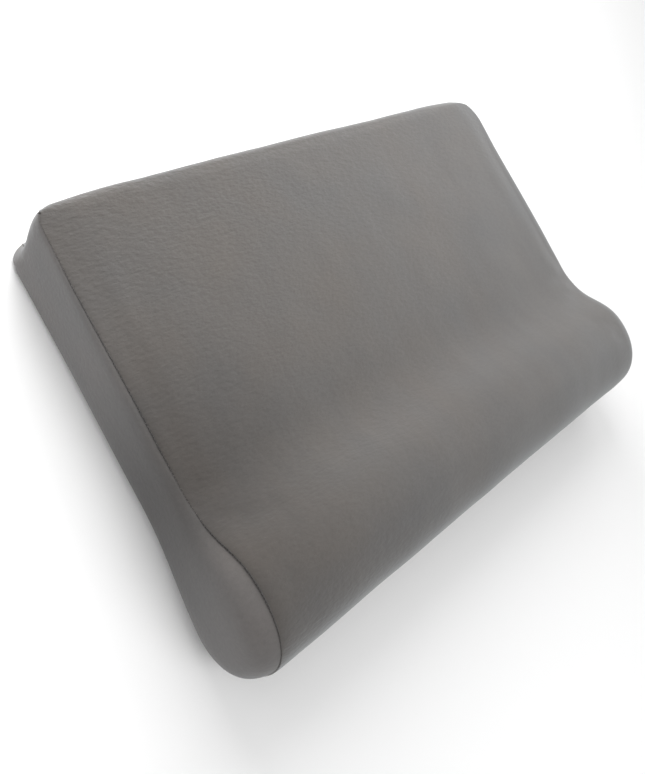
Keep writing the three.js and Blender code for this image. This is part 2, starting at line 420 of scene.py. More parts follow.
@dataclass
class RingSkin:
    """A closed skin put together from rings of points that all have the profile's stations."""

    profile: Profile
    points: list[np.ndarray] = field(default_factory=list)
    uvs: list[np.ndarray] = field(default_factory=list)
    faces: list[tuple[int, ...]] = field(default_factory=list)
    count: int = 0

    def add(self, ring: np.ndarray, uv: np.ndarray) -> np.ndarray:
        """Adds points.

        Args:
            ring: One (x, y, z) a row.
            uv: One (u, v) a row, in millimetres.

        Returns:
            The numbers of the new points.
        """
        self.points.append(ring)
        self.uvs.append(uv)
        self.count += len(ring)
        return np.arange(self.count - len(ring), self.count)

    def bridge(self, start: np.ndarray, end: np.ndarray) -> None:
        """Joins two rings of point numbers with four-sided faces."""
        self.faces += list(zip(start, np.roll(start, -1), np.roll(end, -1), end))

    def close(self, ring: np.ndarray, line: np.ndarray, flipped: bool) -> None:
        """Joins a ring to the points of the middle line.

        Args:
            ring: The numbers of the ring's points.
            line: The numbers of the line's points.
            flipped: Whether the line comes before the ring.
        """
        size = len(ring)
        for i in range(size):
            j = (i + 1) % size
            here, ahead = line[self.profile.middle[i]], line[self.profile.middle[j]]
            face = (ring[i], ring[j], here) if here == ahead else (ring[i], ring[j], ahead, here)
            self.faces.append(face[::-1] if flipped else face)

    def mesh(self, name: str, wrap_v: float = 0.0) -> bpy.types.Mesh:
        """Makes the mesh, in metres, with its faces outwards.

        Args:
            name: The mesh's name.
            wrap_v: The length round the profile, where V starts again at nought.

        Returns:
            The new mesh.
        """
        points = np.concatenate(self.points)
        faces = self.faces
        volume = sum(
            np.dot(points[f[0]], np.cross(points[f[k]], points[f[k + 1]]))
            for f in faces for k in range(1, len(f) - 1)
        )
        if volume < 0:
            faces = [f[::-1] for f in faces]
        mesh = bpy.data.meshes.new(name)
        mesh.from_pydata((points * MM).tolist(), [], [[int(i) for i in f] for f in faces])
        uvs = np.concatenate(self.uvs)[[i for f in faces for i in f]]
        if wrap_v:
            starts = np.cumsum([0] + [len(f) for f in faces[:-1]])
            top = np.repeat(np.maximum.reduceat(uvs[:, 1], starts), [len(f) for f in faces])
            uvs[:, 1] += wrap_v * ((top - uvs[:, 1]) > wrap_v / 2)
        layer = mesh.uv_layers.new(name="cloth")
        layer.data.foreach_set("uv", (uvs * MM).ravel())
        mesh.shade_smooth()
        mesh.validate()
        return mesh


def new_object(name: str, mesh: bpy.types.Mesh) -> bpy.types.Object:
    """Puts a mesh in the scene as an object at the origin.

    Args:
        name: The piece's name.
        mesh: Its mesh.

    Returns:
        The new object.
    """
    obj = bpy.data.objects.new(name, mesh)
    bpy.context.scene.collection.objects.link(obj)
    return obj


def subdivide(obj: bpy.types.Object) -> None:
    """Smooths a piece with one level of subdivision surface and applies it.

    Args:
        obj: The piece.
    """
    modifier = obj.modifiers.new("smooth_cloth", "SUBSURF")
    modifier.levels = modifier.render_levels = 1
    modifier.boundary_smooth = "PRESERVE_CORNERS"
    apply_modifiers(obj)


def apply_modifiers(obj: bpy.types.Object) -> None:
    """Replaces a piece's mesh with its evaluated one and removes its modifiers.

    Args:
        obj: The piece.
    """
    graph = bpy.context.evaluated_depsgraph_get()
    mesh = bpy.data.meshes.new_from_object(obj.evaluated_get(graph))
    old, obj.data = obj.data, mesh
    mesh.name = old.name
    bpy.data.meshes.remove(old)
    obj.modifiers.clear()


def srgb(code: str) -> tuple[float, float, float, float]:
    """Turns an sRGB hex colour into the linear one that shaders take.

    Args:
        code: The colour, such as "7A7674".

    Returns:
        Red, green, blue and an alpha of 1.
    """
    channels = [int(code[i : i + 2], 16) / 255 for i in (0, 2, 4)]
    linear = [c / 12.92 if c <= 0.04045 else ((c + 0.055) / 1.055) ** 2.4 for c in channels]
    return (*linear, 1.0)


def new_material(name: str) -> bpy.types.Material:
    """Makes a material with an empty node tree."""
    material = bpy.data.materials.new(name)
    material.use_nodes = True
    material.node_tree.nodes.clear()
    return material


def add_node(
    tree: bpy.types.NodeTree,
    kind: str,
    values: dict | None = None,
    **settings: object,
) -> bpy.types.Node:
    """Adds a node with its settings, values and links.

    Args:
        tree: The node tree.
        kind: The node's type name.
        values: What goes into its inputs, by name or number: a socket to link, or a value.
        settings: The node's own properties.

    Returns:
        The new node.
    """
    node = tree.nodes.new(kind)
    for key, value in settings.items():
        setattr(node, key, value)
    for key, value in (values or {}).items():
        if isinstance(value, bpy.types.NodeSocket):
            tree.links.new(value, node.inputs[key])
        else:
            node.inputs[key].default_value = value
    return node


@dataclass(frozen=True)
class BrushedKnit:
    """Polyester velour knit, circular-knitted and brushed: a short soft nap that shows pale from the side.

    The base is a dark warm grey, and the sheen of the fibre tips is neutral, so that the cloth turns paler
    and cooler where it is seen at a flat angle. The nap lies in soft pebbles, which are most marked at one
    corner of the slab. Colour and sheen are darkened round one point as painted shade.
    """

    name: str
    warm: str
    cool: str
    nap: Nap
    fibre_mm: float = 1.1  # real fibres are 0.1 mm: drawn coarser, so that they show at all
    pebble_mm: tuple[float, float, float] = (6.2, 3.4, 3.4)
    patch_mm: float = 85.0
    nap_mm: float = 14.0
    relief_mm: float = 0.76
    sheen: float = 0.66
    painted_shade_at: tuple[float, float, float] = (-300.0, -55.0, 75.0)  # the middle of a painted shade, where colour and sheen are darkest
    painted_shade_reach: float = 170.0
    painted_shade_share: float = 0.0  # how much darker the painted shade makes colour and sheen there
    marked: tuple[float, float] = (1.0, 0.12)  # the relief at the back left corner, and at the front right
    marked_along: tuple[float, float] = (-0.2, 0.35)  # where the relief is least and most, in metres
    shade_range: tuple[float, float] = (0.9, 1.1)
    fibre_relief: float = 0.2

    def material(self) -> bpy.types.Material:
        """Builds the cloth's material.

        Returns:
            The new material.
        """
        material = new_material(self.name)
        node = partial(add_node, material.node_tree)
        place = node("ShaderNodeTexCoord")
        space, uv = place.outputs["Object"], place.outputs["UV"]

        def noise(vector: bpy.types.NodeSocket, size_mm: float, detail: float) -> bpy.types.NodeSocket:
            return node("ShaderNodeTexNoise", {
                "Vector": vector, "Scale": 1.0 / (size_mm * MM), "Detail": detail, "Roughness": 0.55,
            }).outputs["Fac"]

        along, across = self.nap.value
        brushed = node("ShaderNodeMapping", {"Vector": uv, "Scale": (along, across, 1.0)})
        stretched = node("ShaderNodeMapping", {
            "Vector": space, "Scale": tuple(1.0 / (size * MM) for size in self.pebble_mm),
        })
        patch = noise(space, self.patch_mm, 2.0)
        streak = noise(brushed.outputs[0], self.nap_mm, 3.0)
        pebble = noise(stretched.outputs[0], 1.0 / MM, 1.5)
        fibre = noise(space, self.fibre_mm, 3.0)

        ramp = node("ShaderNodeMapRange", {"Value": patch, "From Min": 0.3, "From Max": 0.7})
        base = node("ShaderNodeMix", {
            "Factor": ramp.outputs[0], 6: srgb(self.warm), 7: srgb(self.cool),
        }, data_type="RGBA")
        shade = node("ShaderNodeMath", {0: streak, 1: pebble}, operation="ADD")
        shade = node("ShaderNodeMath", {0: shade.outputs[0], 1: fibre}, operation="ADD")
        shade = node("ShaderNodeMapRange", {
            "Value": shade.outputs[0], "From Min": 0.9, "From Max": 2.1,
            "To Min": self.shade_range[0], "To Max": self.shade_range[1],
        })
        colour = node("ShaderNodeVectorMath", {
            0: base.outputs[2], "Scale": shade.outputs[0],
        }, operation="SCALE")

        # Painted shade: colour and sheen are scaled down near one point, most at its middle.
        painted_shade_distance = node("ShaderNodeVectorMath", {
            0: space, 1: tuple(value * MM for value in self.painted_shade_at),
        }, operation="DISTANCE")
        upright = node("ShaderNodeMapRange", {
            "Value": painted_shade_distance.outputs["Value"], "From Min": 0.0, "From Max": self.painted_shade_reach * MM,
            "To Min": 1.0 - self.painted_shade_share, "To Max": 1.0,
        }, interpolation_type="SMOOTHSTEP")
        colour = node("ShaderNodeVectorMath", {
            0: colour.outputs[0], "Scale": upright.outputs[0],
        }, operation="SCALE")
        sheen = node("ShaderNodeMath", {
            0: upright.outputs[0], 1: self.sheen,
        }, operation="MULTIPLY")

        corner = node("ShaderNodeVectorMath", {
            0: space, 1: (-0.8, 0.9, 0.0),
        }, operation="DOT_PRODUCT")
        relief = node("ShaderNodeMapRange", {
            "Value": corner.outputs["Value"],
            "From Min": self.marked_along[0], "From Max": self.marked_along[1],
            "To Min": self.marked[1], "To Max": self.marked[0],
        })
        height = node("ShaderNodeMath", {
            0: fibre, 1: self.fibre_relief, 2: pebble,
        }, operation="MULTIPLY_ADD")
        bump = node("ShaderNodeBump", {
            "Strength": relief.outputs[0], "Distance": self.relief_mm * MM, "Height": height.outputs[0],
        })
        shader = node("ShaderNodeBsdfPrincipled", {
            "Base Color": colour.outputs[0],
            "Roughness": 0.95,
            "IOR": 1.46,
            "Specular IOR Level": 0.1,
            "Sheen Weight": sheen.outputs[0],
            "Sheen Roughness": 0.5,
            "Sheen Tint": srgb("F4F9FC"),
            "Normal": bump.outputs[0],
        })
        node("ShaderNodeOutputMaterial", {"Surface": shader.outputs[0]})
        return material


@dataclass(frozen=True)
class FoamPressure:
    """The foam's push on the wrap, found by a cloth simulation of a coarse copy."""

    pressure: float = 9.0
    frames: int = 20
    start_smaller: float = 0.5
    cap: float = 3.0
    kept: float = 0.6
    quality: int = 6
    mass: float = 0.3
    stretch_stiffness: float = 25.0
    bending_stiffness: float = 1.0
    lying_below: float = 0.5  # what lies lower than this rests on its base and stays
    station_step: float = 8.0
    near_rows: tuple[float, ...] = (0.0, 4.0, 8.5, 13.2, 20.0)
    row_step: float = 9.0

    def push(self, body: "FilledBody") -> tuple[np.ndarray, np.ndarray, np.ndarray]:
        """Lets the wrap swell, and measures how it moves from its sewn shape.

        Args:
            body: The wrap.

        Returns:
            The places of the rows along X, the places of the stations round the profile from 0 to 1,
            and how far each point of that grid moves.
        """
        form = replace(body.form, station_step=self.station_step)
        coarse = FilledBody(
            form, form.profile(), body.finish, near_rows=self.near_rows, row_step=self.row_step,
        )
        skin, grid = coarse.skin(self.start_smaller)
        sewn, _ = coarse.skin(0.0)
        rest = np.concatenate(sewn.points)
        obj = new_object("wrap_under_pressure", skin.mesh("wrap_under_pressure"))
        start = np.concatenate(skin.points)
        held = obj.vertex_groups.new(name="held")
        inner = np.zeros(len(start), bool)
        inner[grid[1:-1].ravel()] = True
        fixed = np.flatnonzero(~inner | (rest[:, 2] < self.lying_below))
        held.add([int(i) for i in fixed], 1.0, "REPLACE")
        modifier = obj.modifiers.new("wrap", "CLOTH")
        cloth = modifier.settings
        cloth.quality = self.quality
        cloth.mass = self.mass
        cloth.tension_stiffness = cloth.compression_stiffness = self.stretch_stiffness
        cloth.bending_stiffness = self.bending_stiffness
        cloth.use_pressure = True
        cloth.uniform_pressure_force = self.pressure
        cloth.vertex_group_mass = "held"
        cloth.effector_weights.gravity = 0.0
        modifier.point_cache.frame_start, modifier.point_cache.frame_end = 1, self.frames
        scene = bpy.context.scene
        for frame_number in range(1, self.frames + 1):
            scene.frame_set(frame_number)
        swollen = obj.evaluated_get(bpy.context.evaluated_depsgraph_get()).data
        moved = np.array([v.co for v in swollen.vertices]) / MM - rest
        scene.frame_set(1)
        mesh = obj.data
        bpy.data.objects.remove(obj)
        bpy.data.meshes.remove(mesh)
        length = np.linalg.norm(moved, axis=1)
        moved *= (np.minimum(length, self.cap) / np.maximum(length, 1e-6))[:, None] * self.kept
        moved[fixed] = 0.0
        most, mean = length[inner].max(), length[inner].mean()
        log.info("foam pressure: %.1f mm at most, %.1f mm on the whole", most, mean)
        return coarse.row_places(), coarse.station_places(), moved[grid]


@dataclass(frozen=True)
class SewingThread:
    """Spun polyester sewing thread, matt and a little fuzzy: it stays darker than the nap beside it."""

    name: str = "spun polyester sewing thread"
    colour: str = "6A6663"

    def material(self) -> bpy.types.Material:
        """Builds the thread's material.

        Returns:
            The new material.
        """
        material = new_material(self.name)
        node = partial(add_node, material.node_tree)
        place = node("ShaderNodeTexCoord")
        twist = node("ShaderNodeTexNoise", {
            "Vector": place.outputs["Object"], "Scale": 2500.0, "Detail": 1.0,
        })
        shade = node("ShaderNodeMapRange", {
            "Value": twist.outputs["Fac"], "To Min": 0.75, "To Max": 1.25,
        })
        colour = node("ShaderNodeVectorMath", {
            0: srgb(self.colour)[:3], "Scale": shade.outputs[0],
        }, operation="SCALE")
        bump = node("ShaderNodeBump", {
            "Strength": 0.5, "Distance": 0.0001, "Height": twist.outputs["Fac"],
        })
        shader = node("ShaderNodeBsdfPrincipled", {
            "Base Color": colour.outputs[0], "Roughness": 0.8, "IOR": 1.5, "Sheen Weight": 0.1,
            "Normal": bump.outputs[0],
        })
        node("ShaderNodeOutputMaterial", {"Surface": shader.outputs[0]})
        return material


@dataclass
class SeamStitches:
    """The thread that shows between the wrap and an end panel, as short bars across the groove."""

    form: PillowForm
    profile: Profile
    end: End
    finish: bpy.types.Material
    look: SeamLook = SeamLook()
    pitch: float = 2.8
    bar: tuple[float, float] = (0.28, 1.7)  # radius and length
    sunk: float = 0.2
    seed: int = 7

    def path(self) -> bpy.types.Mesh:
        """Lays the line that the stitches follow.

        Returns:
            A mesh of the closed line.
        """
        look = self.look.at(self.profile)
        section = self.form.section(self.profile, 0.0, look.inset + look.lip / 2 + look.groove / 2)
        x = np.full(len(section), self.form.seam_length / 2 - self.sunk)
        points = self.form.place(np.column_stack([x, section]), self.end) * MM
        edges = [(i, (i + 1) % len(points)) for i in range(len(points))]
        mesh = bpy.data.meshes.new("seam_line")
        mesh.from_pydata(points.tolist(), edges, [])
        return mesh

    def tree(self) -> bpy.types.NodeTree:
        """Builds the node tree that sets a bar at each stitch.

        Returns:
            The new tree.
        """
        tree = bpy.data.node_groups.new("seam_stitches", "GeometryNodeTree")
        node, ports = partial(add_node, tree), tree.interface
        ports.new_socket("Geometry", in_out="INPUT", socket_type="NodeSocketGeometry")
        for name in ("Pitch", "Bar Radius", "Bar Length"):
            ports.new_socket(name, in_out="INPUT", socket_type="NodeSocketFloat")
        ports.new_socket("Seed", in_out="INPUT", socket_type="NodeSocketInt")
        ports.new_socket("Material", in_out="INPUT", socket_type="NodeSocketMaterial")
        ports.new_socket("Geometry", in_out="OUTPUT", socket_type="NodeSocketGeometry")
        given = node("NodeGroupInput").outputs
        line = node("GeometryNodeMeshToCurve", {"Mesh": given["Geometry"]})
        line = node("GeometryNodeResampleCurve", {
            "Curve": line.outputs[0], "Length": given["Pitch"],
        }, mode="LENGTH")
        ball = node("GeometryNodeMeshUVSphere", {"Segments": 8, "Rings": 5, "Radius": 1.0})
        half = node("ShaderNodeMath", {0: given["Bar Length"], 1: 0.5}, operation="MULTIPLY")
        scale = node("ShaderNodeCombineXYZ", {
            0: given["Bar Radius"], 1: given["Bar Radius"], 2: half.outputs[0],
        })
        bar = node("GeometryNodeTransform", {
            "Geometry": ball.outputs[0], "Scale": scale.outputs[0],
        })
        tangent = node("GeometryNodeInputTangent")
        across = node("ShaderNodeVectorMath", {
            0: tangent.outputs[0], 1: (1.0, 0.0, 0.0),
        }, operation="CROSS_PRODUCT")
        tilt = node("FunctionNodeRandomValue", {
            0: (-0.3, -0.3, -0.3), 1: (0.3, 0.3, 0.3), "Seed": given["Seed"],
        }, data_type="FLOAT_VECTOR")
        leaning = node("ShaderNodeVectorMath", {
            0: across.outputs[0], 1: tilt.outputs[0],
        }, operation="ADD")
        turn = node("FunctionNodeAlignRotationToVector", {"Vector": leaning.outputs[0]}, axis="Z")
        size = node("FunctionNodeRandomValue", {
            2: 0.8, 3: 1.2, "Seed": given["Seed"],
        }, data_type="FLOAT")
        bars = node("GeometryNodeInstanceOnPoints", {
            "Points": line.outputs[0], "Instance": bar.outputs[0],
            "Rotation": turn.outputs[0], "Scale": size.outputs[1],
        })
        real = node("GeometryNodeRealizeInstances", {"Geometry": bars.outputs[0]})
        dressed = node("GeometryNodeSetMaterial", {
            "Geometry": real.outputs[0], "Material": given["Material"],
        })
        node("NodeGroupOutput", {0: dressed.outputs[0]})
        return tree

    def build(self) -> bpy.types.Object:
        """Makes the piece.

        Returns:
            The stitches of one seam as a mesh object.
        """
        obj = new_object(f"seam_thread_{self.end.name.lower()}", self.path())
        modifier = obj.modifiers.new("stitches", "NODES")
        modifier.node_group = self.tree()
        values = {
            "Pitch": self.pitch * MM, "Bar Radius": self.bar[0] * MM, "Bar Length": self.bar[1] * MM,
            "Seed": self.seed, "Material": self.finish,
        }
        for item in modifier.node_group.interface.items_tree:
            if item.in_out == "INPUT" and item.name in values:
                modifier[item.identifier] = values[item.name]
        apply_modifiers(obj)
        obj.data.shade_smooth()
        return obj


@dataclass
class SeamKnot:
    """The small knot that ends the seam's thread at the left back corner, with its two cut ends."""

    finish: bpy.types.Material
    place: tuple[float, float, float] = (-297.0, 193.4, 77.0)
    facing: tuple[float, float, float] = (-0.25, 0.57, 0.78)
    loop: float = 0.4  # the unit of the trefoil, which reaches three of them from its middle
    thread: float = 0.3
    sides: int = 8
    around: int = 72
    tail_steps: int = 8
    tails: tuple[tuple[float, float], ...] = ((0.6, 2.3), (2.2, 2.0))  # direction in radians, and reach

    def tube(self, path: np.ndarray, radius: float, first: int) -> tuple[np.ndarray, list[list[int]]]:
        """Lays a thread along a line.

        Args:
            path: The places along the middle of the thread.
            radius: The thread's radius.
            first: The number of its first point in the mesh.

        Returns:
            The points, and the faces along the thread.
        """
        ahead = np.gradient(path, axis=0)
        ahead /= np.linalg.norm(ahead, axis=1)[:, None]
        side = np.cross(ahead, self.facing)
        side /= np.linalg.norm(side, axis=1)[:, None]
        above = np.cross(side, ahead)
        turn = np.linspace(0, 2 * math.pi, self.sides, endpoint=False)[None, :, None]
        rings = path[:, None] + radius * (np.cos(turn) * side[:, None] + np.sin(turn) * above[:, None])
        number = first + np.arange(len(path) * self.sides).reshape(len(path), self.sides)
        beside = np.roll(number, -1, axis=1)
        faces = np.stack([number[:-1], number[1:], beside[1:], beside[:-1]], axis=2)
        return rings.reshape(-1, 3), faces.reshape(-1, 4).tolist()

    def build(self) -> bpy.types.Object:
        """Makes the piece.

        Returns:
            The knot as a mesh object.
        """
        up = np.array(self.facing) / np.linalg.norm(self.facing)
        side = np.cross(up, (1.0, 0.0, 0.0))
        side /= np.linalg.norm(side)
        axes = np.stack([np.cross(side, up), side, up])
        t = np.linspace(0, 2 * math.pi, self.around + 1)
        knot = np.column_stack([
            np.sin(t) + 2 * np.sin(2 * t), np.cos(t) - 2 * np.cos(2 * t), -0.8 * np.sin(3 * t),
        ]) * self.loop
        points, faces = self.tube(np.array(self.place) + knot @ axes, self.thread, 0)
        last = self.around * self.sides
        faces = [[i % last if i >= last else i for i in face] for face in faces]
        points = points[:last]
        for angle, reach in self.tails:
            run = np.linspace(0, 1, self.tail_steps)
            tail = np.column_stack([
                run * reach * math.cos(angle), run * reach * math.sin(angle), -0.6 * run**2,
            ])
            count = len(points)
            more, sides = self.tube(np.array(self.place) + tail @ axes, self.thread * 0.8, count)
            final = count + len(more) - self.sides
            ends = [list(range(count, count + self.sides)), list(range(final, final + self.sides))[::-1]]
            points, faces = np.concatenate([points, more]), faces + sides + ends
        mesh = bpy.data.meshes.new("seam_knot_left")
        mesh.from_pydata((points * MM).tolist(), [], faces)
        mesh.shade_smooth()
        mesh.materials.append(self.finish)
        return new_object("seam_knot_left", mesh)


@dataclass
class FilledBody:
    """The wrap of brushed knit round the foam, turned in to a seam at each end."""

    form: PillowForm
    profile: Profile
    finish: bpy.types.Material
    look: SeamLook = SeamLook()
    near_rows: tuple[float, ...] = (0.0, 0.5, 1.3, 2.4, 3.8, 5.5, 7.6, 10.2, 13.2, 17.0, 21.5, 26.5, 32.0)
    row_step: float = 6.0
    lip: tuple[tuple[float, float], ...] = ((0.35, 0.45), (1.2, 0.8), (2.5, 1.0))  # (back, inset)
    hidden_depth: float = 3.6
    hidden_rings: tuple[float, ...] = (4.0, 9.0, 18.0, 27.0)
    uneven: tuple[tuple[SmoothField, float], ...] = (
        (SmoothField(120.0, 11), 0.5), (SmoothField(45.0, 12), 0.12),
    )
    even_below: float = 14.0  # the unevenness sets in over this height,
    even_near_seam: float = 40.0  # and over this distance from a seam
    swells_over: float = 30.0

    def row(self, from_seam: float, end: End, smaller: float = 0.0) -> np.ndarray:
        """One cross-section of the wrap.

        Args:
            from_seam: Its distance in from the end's seam.
            end: The end.
            smaller: How far it is drawn in all round.

        Returns:
            One (x, y, z) for each station.
        """
        form = self.form
        turned = min(from_seam / form.end_rounding, 1.0)
        inset = self.look.at(self.profile).inset * (1 - math.sqrt(1 - (1 - turned) ** 2))
        x = form.seam_length / 2 - from_seam
        bow = 1 - (2 * x / form.seam_length) ** 2
        inset = inset + smaller * min(from_seam / self.swells_over, 1.0)
        section = form.section(self.profile, from_seam, inset)
        y, z = section[:, 0], section[:, 1]
        free = float(smoothstep(np.array(from_seam / form.back_full_over)))
        y = y + form.back_full * free * form.on_slab(y)
        y = y + form.back_bow * bow * np.maximum(y, 0) / form.back_y
        y = y + form.nose_bow * bow * np.maximum(-section[:, 0], 0) / -form.nose_y
        return form.place(np.stack([np.full(len(y), x), y, z], axis=1), end)

    def end_rings(self, end: End) -> tuple[np.ndarray, list[np.ndarray]]:
        """The lip turned into the seam and the face hidden under an end panel.

        Args:
            end: The end.

        Returns:
            The points of the middle line, and the rings from there out to the seam.
        """
        form, half = self.form, self.form.seam_length / 2
        seam = self.look.at(self.profile)
        rings = []
        for back, inset in self.lip:
            section = form.section(self.profile, 0.0, seam.inset + seam.lip * inset)
            rings.append(form.place(np.column_stack([np.full(len(section), half - back), section]), end))
        panel = EndPanel(form, self.profile, end, self.finish)
        line, hidden = panel.face(self.hidden_depth, self.hidden_rings)
        return line, [*hidden[::-1], *rings[::-1]]

    def distances(self) -> list[float]:
        """Lists how far each row of one half lies from its seam."""
        half = self.form.seam_length / 2
        count = round((half - self.near_rows[-1]) / self.row_step)
        rest = np.linspace(self.near_rows[-1], half, count + 1)[1:-1]
        return [*self.near_rows, *rest]

    def row_places(self) -> np.ndarray:
        """Lists the place of each row along X."""
        half = self.form.seam_length / 2
        left = [distance - half for distance in self.distances()]
        return np.array([*left, 0.0, *(-x for x in left[::-1])])

    def station_places(self) -> np.ndarray:
        """Lists the place of each station round the profile, from 0 to 1."""
        points = self.profile.points
        run = np.linalg.norm(np.diff(points, axis=0, append=points[:1]), axis=1)
        return np.concatenate([[0.0], np.cumsum(run)[:-1]]) / run.sum()

    def skin(self, smaller: float, moved: np.ndarray | None = None) -> tuple[RingSkin, np.ndarray]:
        """Puts the wrap's rings together.

        Args:
            smaller: How far the wrap is drawn in all round.
            moved: How far each point of its visible rows is moved.

        Returns:
            The skin, and the numbers of the visible points, by row and station.
        """
        distances = self.distances()
        rows = [self.row(distance, End.LEFT, smaller) for distance in distances]
        rows.append(self.row(self.form.seam_length / 2, End.RIGHT, smaller))
        rows += [self.row(distance, End.RIGHT, smaller) for distance in distances[::-1]]
        if moved is not None:
            rows = [row + shift for row, shift in zip(rows, moved)]
        (left_line, left), (right_line, right) = (self.end_rings(end) for end in End)
        places = self.row_places()
        v = self.station_places() * self.round_length
        skin = RingSkin(self.profile)

        def add(ring: np.ndarray, u: float) -> np.ndarray:
            return skin.add(ring, np.column_stack([np.full(len(v), u), v]))

        hidden_left = [add(ring, places[0] - len(left) + k) for k, ring in enumerate(left)]
        visible = [add(ring, u) for ring, u in zip(rows, places)]
        hidden_right = [add(ring, places[-1] + 1 + k) for k, ring in enumerate(right[::-1])]
        rings = [*hidden_left, *visible, *hidden_right]
        for start, end in zip(rings, rings[1:]):
            skin.bridge(start, end)
        skin.close(rings[0], skin.add(left_line, left_line[:, 1:]), True)
        skin.close(rings[-1], skin.add(right_line, right_line[:, 1:]), False)
        return skin, np.array(visible)

    @property
    def round_length(self) -> float:
        """The length once round the profile."""
        points = self.profile.points
        return float(np.linalg.norm(np.diff(points, axis=0, append=points[:1]), axis=1).sum())

    def moves(self) -> np.ndarray:
        """Finds how the foam, and its own unevenness, move the wrap.

        Returns:
            One move for each visible row and station.
        """
        plain, grid = self.skin(0.0)
        points = np.concatenate(plain.points)[grid]
        ahead = np.roll(points, -1, axis=1) - np.roll(points, 1, axis=1)
        along = np.gradient(points, axis=0)
        normal = np.cross(ahead, along)
        normal /= np.linalg.norm(normal, axis=2)[..., None]
        outward = np.sign((normal * (points - points.mean(axis=(0, 1)))).sum())
        free = smoothstep(points[..., 2] / self.even_below)
        from_seam = self.form.seam_length / 2 - np.abs(self.row_places())
        free = free * smoothstep(from_seam / self.even_near_seam)[:, None]
        flat = points.reshape(-1, 3)
        rise = sum(share * noise.at(flat).reshape(free.shape) for noise, share in self.uneven)
        moved = normal * (outward * free * rise)[..., None]
        rows, stations, pushed = FoamPressure().push(self)
        across = np.stack([
            [np.interp(self.station_places(), stations, row[:, k], period=1.0) for row in pushed]
            for k in range(3)
        ])
        own_rows = self.row_places()
        pushed = np.stack([
            np.array([np.interp(own_rows, rows, column) for column in part.T]).T for part in across
        ], axis=2)
        inward = np.minimum((pushed * normal).sum(axis=2) * outward, 0.0)  # the foam doesn't let it in
        moved += pushed - normal * (outward * inward)[..., None]
        return moved

    def build(self) -> bpy.types.Object:
        """Makes the piece.

        Returns:
            The wrap as one closed mesh object.
        """
        skin, _ = self.skin(0.0, self.moves())
        obj = new_object("brushed_wrap", skin.mesh("brushed_wrap", self.round_length))
        subdivide(obj)
        obj.data.materials.append(self.finish)
        return obj


@dataclass
class EndPanel:
    """A cloth panel that closes one end, sewn in along the profile and pushed out by the foam."""

    form: PillowForm
    profile: Profile
    end: End
    finish: bpy.types.Material
    look: SeamLook = SeamLook()
    cloth: float = 2.5
    lip_width: float = 1.0  # the wrap's own lip in the seam
    swell_over: float = 1.3
    swell_fades: float = 9.0
    lip: tuple[tuple[float, float], ...] = ((2.4, 0.0), (1.3, 0.0), (0.4, 0.1))  # (back, inset)
    rings: tuple[float, ...] = (0.0, 0.7, 1.5, 2.5, 3.8, 5.4, 7.4, 9.8, 12.6, 16.0, 20.5, 27.0)
    inner_rings: tuple[float, ...] = (0.6, 3.0, 8.0, 16.0, 27.0)
    fill_rings: int = 4
    rings_reach: float = 0.78  # the share of the way to the middle line that the rings take at most
    slope_step: float = 0.15

    @property
    def rim_inset(self) -> np.ndarray:
        """How far inside the full profile the rim lies at each station."""
        look = self.look.at(self.profile)
        return look.inset + look.groove + self.lip_width * look.lip

    def face(self, depth: float, distances: tuple[float, ...]) -> tuple[np.ndarray, list[np.ndarray]]:
        """The panel's surface, or one under it.

        Args:
            depth: How far under the outside it lies.
            distances: The rings' distances in from the rim.

        Returns:
            The points of the middle line, and the rings from the rim inwards.
        """
        form = self.form
        look = self.look.at(self.profile)
        rim = form.section(self.profile, 0.0, self.rim_inset)
        centre = self.profile.middle_line[self.profile.middle]
        reach = np.linalg.norm(centre - rim, axis=1)
        crowd = np.minimum(1.0, self.rings_reach * reach / distances[-1])
        steps = [distance * crowd / reach for distance in distances]
        fill = np.linspace(0.0, 1.0, self.fill_rings + 1)[1:-1]
        steps += [steps[-1] + (1 - steps[-1]) * t for t in fill]

        def rise(points: np.ndarray) -> np.ndarray:
            return form.bulge(rim, points, self.end, (look.swell, self.swell_over, self.swell_fades))

        def lift(points: np.ndarray) -> np.ndarray:
            step = self.slope_step
            slopes = [
                (rise(points + move) - rise(points - move)) / (2 * step)
                for move in (np.array([step, 0.0]), np.array([0.0, step]))
            ]
            height = form.seam_length / 2 + rise(points)
            normal = np.column_stack([np.ones(len(points)), -slopes[0], -slopes[1]])
            normal /= np.linalg.norm(normal, axis=1)[:, None]
            return form.place(np.column_stack([height, points]) - depth * normal, self.end)

        rings = [lift(rim + (centre - rim) * np.maximum(t, 1e-3)[:, None]) for t in steps]
        return lift(self.profile.middle_line), rings

    def build(self) -> bpy.types.Object:
        """Makes the piece.

        Returns:
            The panel as one closed mesh object.
        """
        half = self.form.seam_length / 2
        line_out, outer = self.face(0.0, self.rings)
        line_in, inner = self.face(self.cloth, self.inner_rings)
        lip = []
        for back, inset in self.lip:
            section = self.form.section(self.profile, 0.0, self.rim_inset + inset)
            ring = np.column_stack([np.full(len(section), half - back), section])
            lip.append(self.form.place(ring, self.end))
        skin = RingSkin(self.profile)
        rings = [skin.add(ring, ring[:, 1:]) for ring in [*outer[::-1], *lip[::-1], *inner]]
        for start, end in zip(rings, rings[1:]):
            skin.bridge(start, end)
        skin.close(rings[0], skin.add(line_out, line_out[:, 1:]), True)
        skin.close(rings[-1], skin.add(line_in, line_in[:, 1:]), False)
        name = f"end_cloth_{self.end.name.lower()}"
        obj = new_object(name, skin.mesh(name))
        subdivide(obj)
        obj.data.materials.append(self.finish)
        return obj


@dataclass(frozen=True)
class SoftBox:
    """One round softbox of the studio, which faces the pillow."""

    name: str
    azimuth: float  # degrees from +X towards +Y
    elevation: float
    power: float
    distance: float = 1.35
    size: float = 0.8

    @property
    def towards(self) -> Vector:
        """The direction from the pillow to the lamp."""
        turn = Euler((0.0, -math.radians(self.elevation), math.radians(self.azimuth)))
        return turn.to_matrix() @ Vector((1.0, 0.0, 0.0))


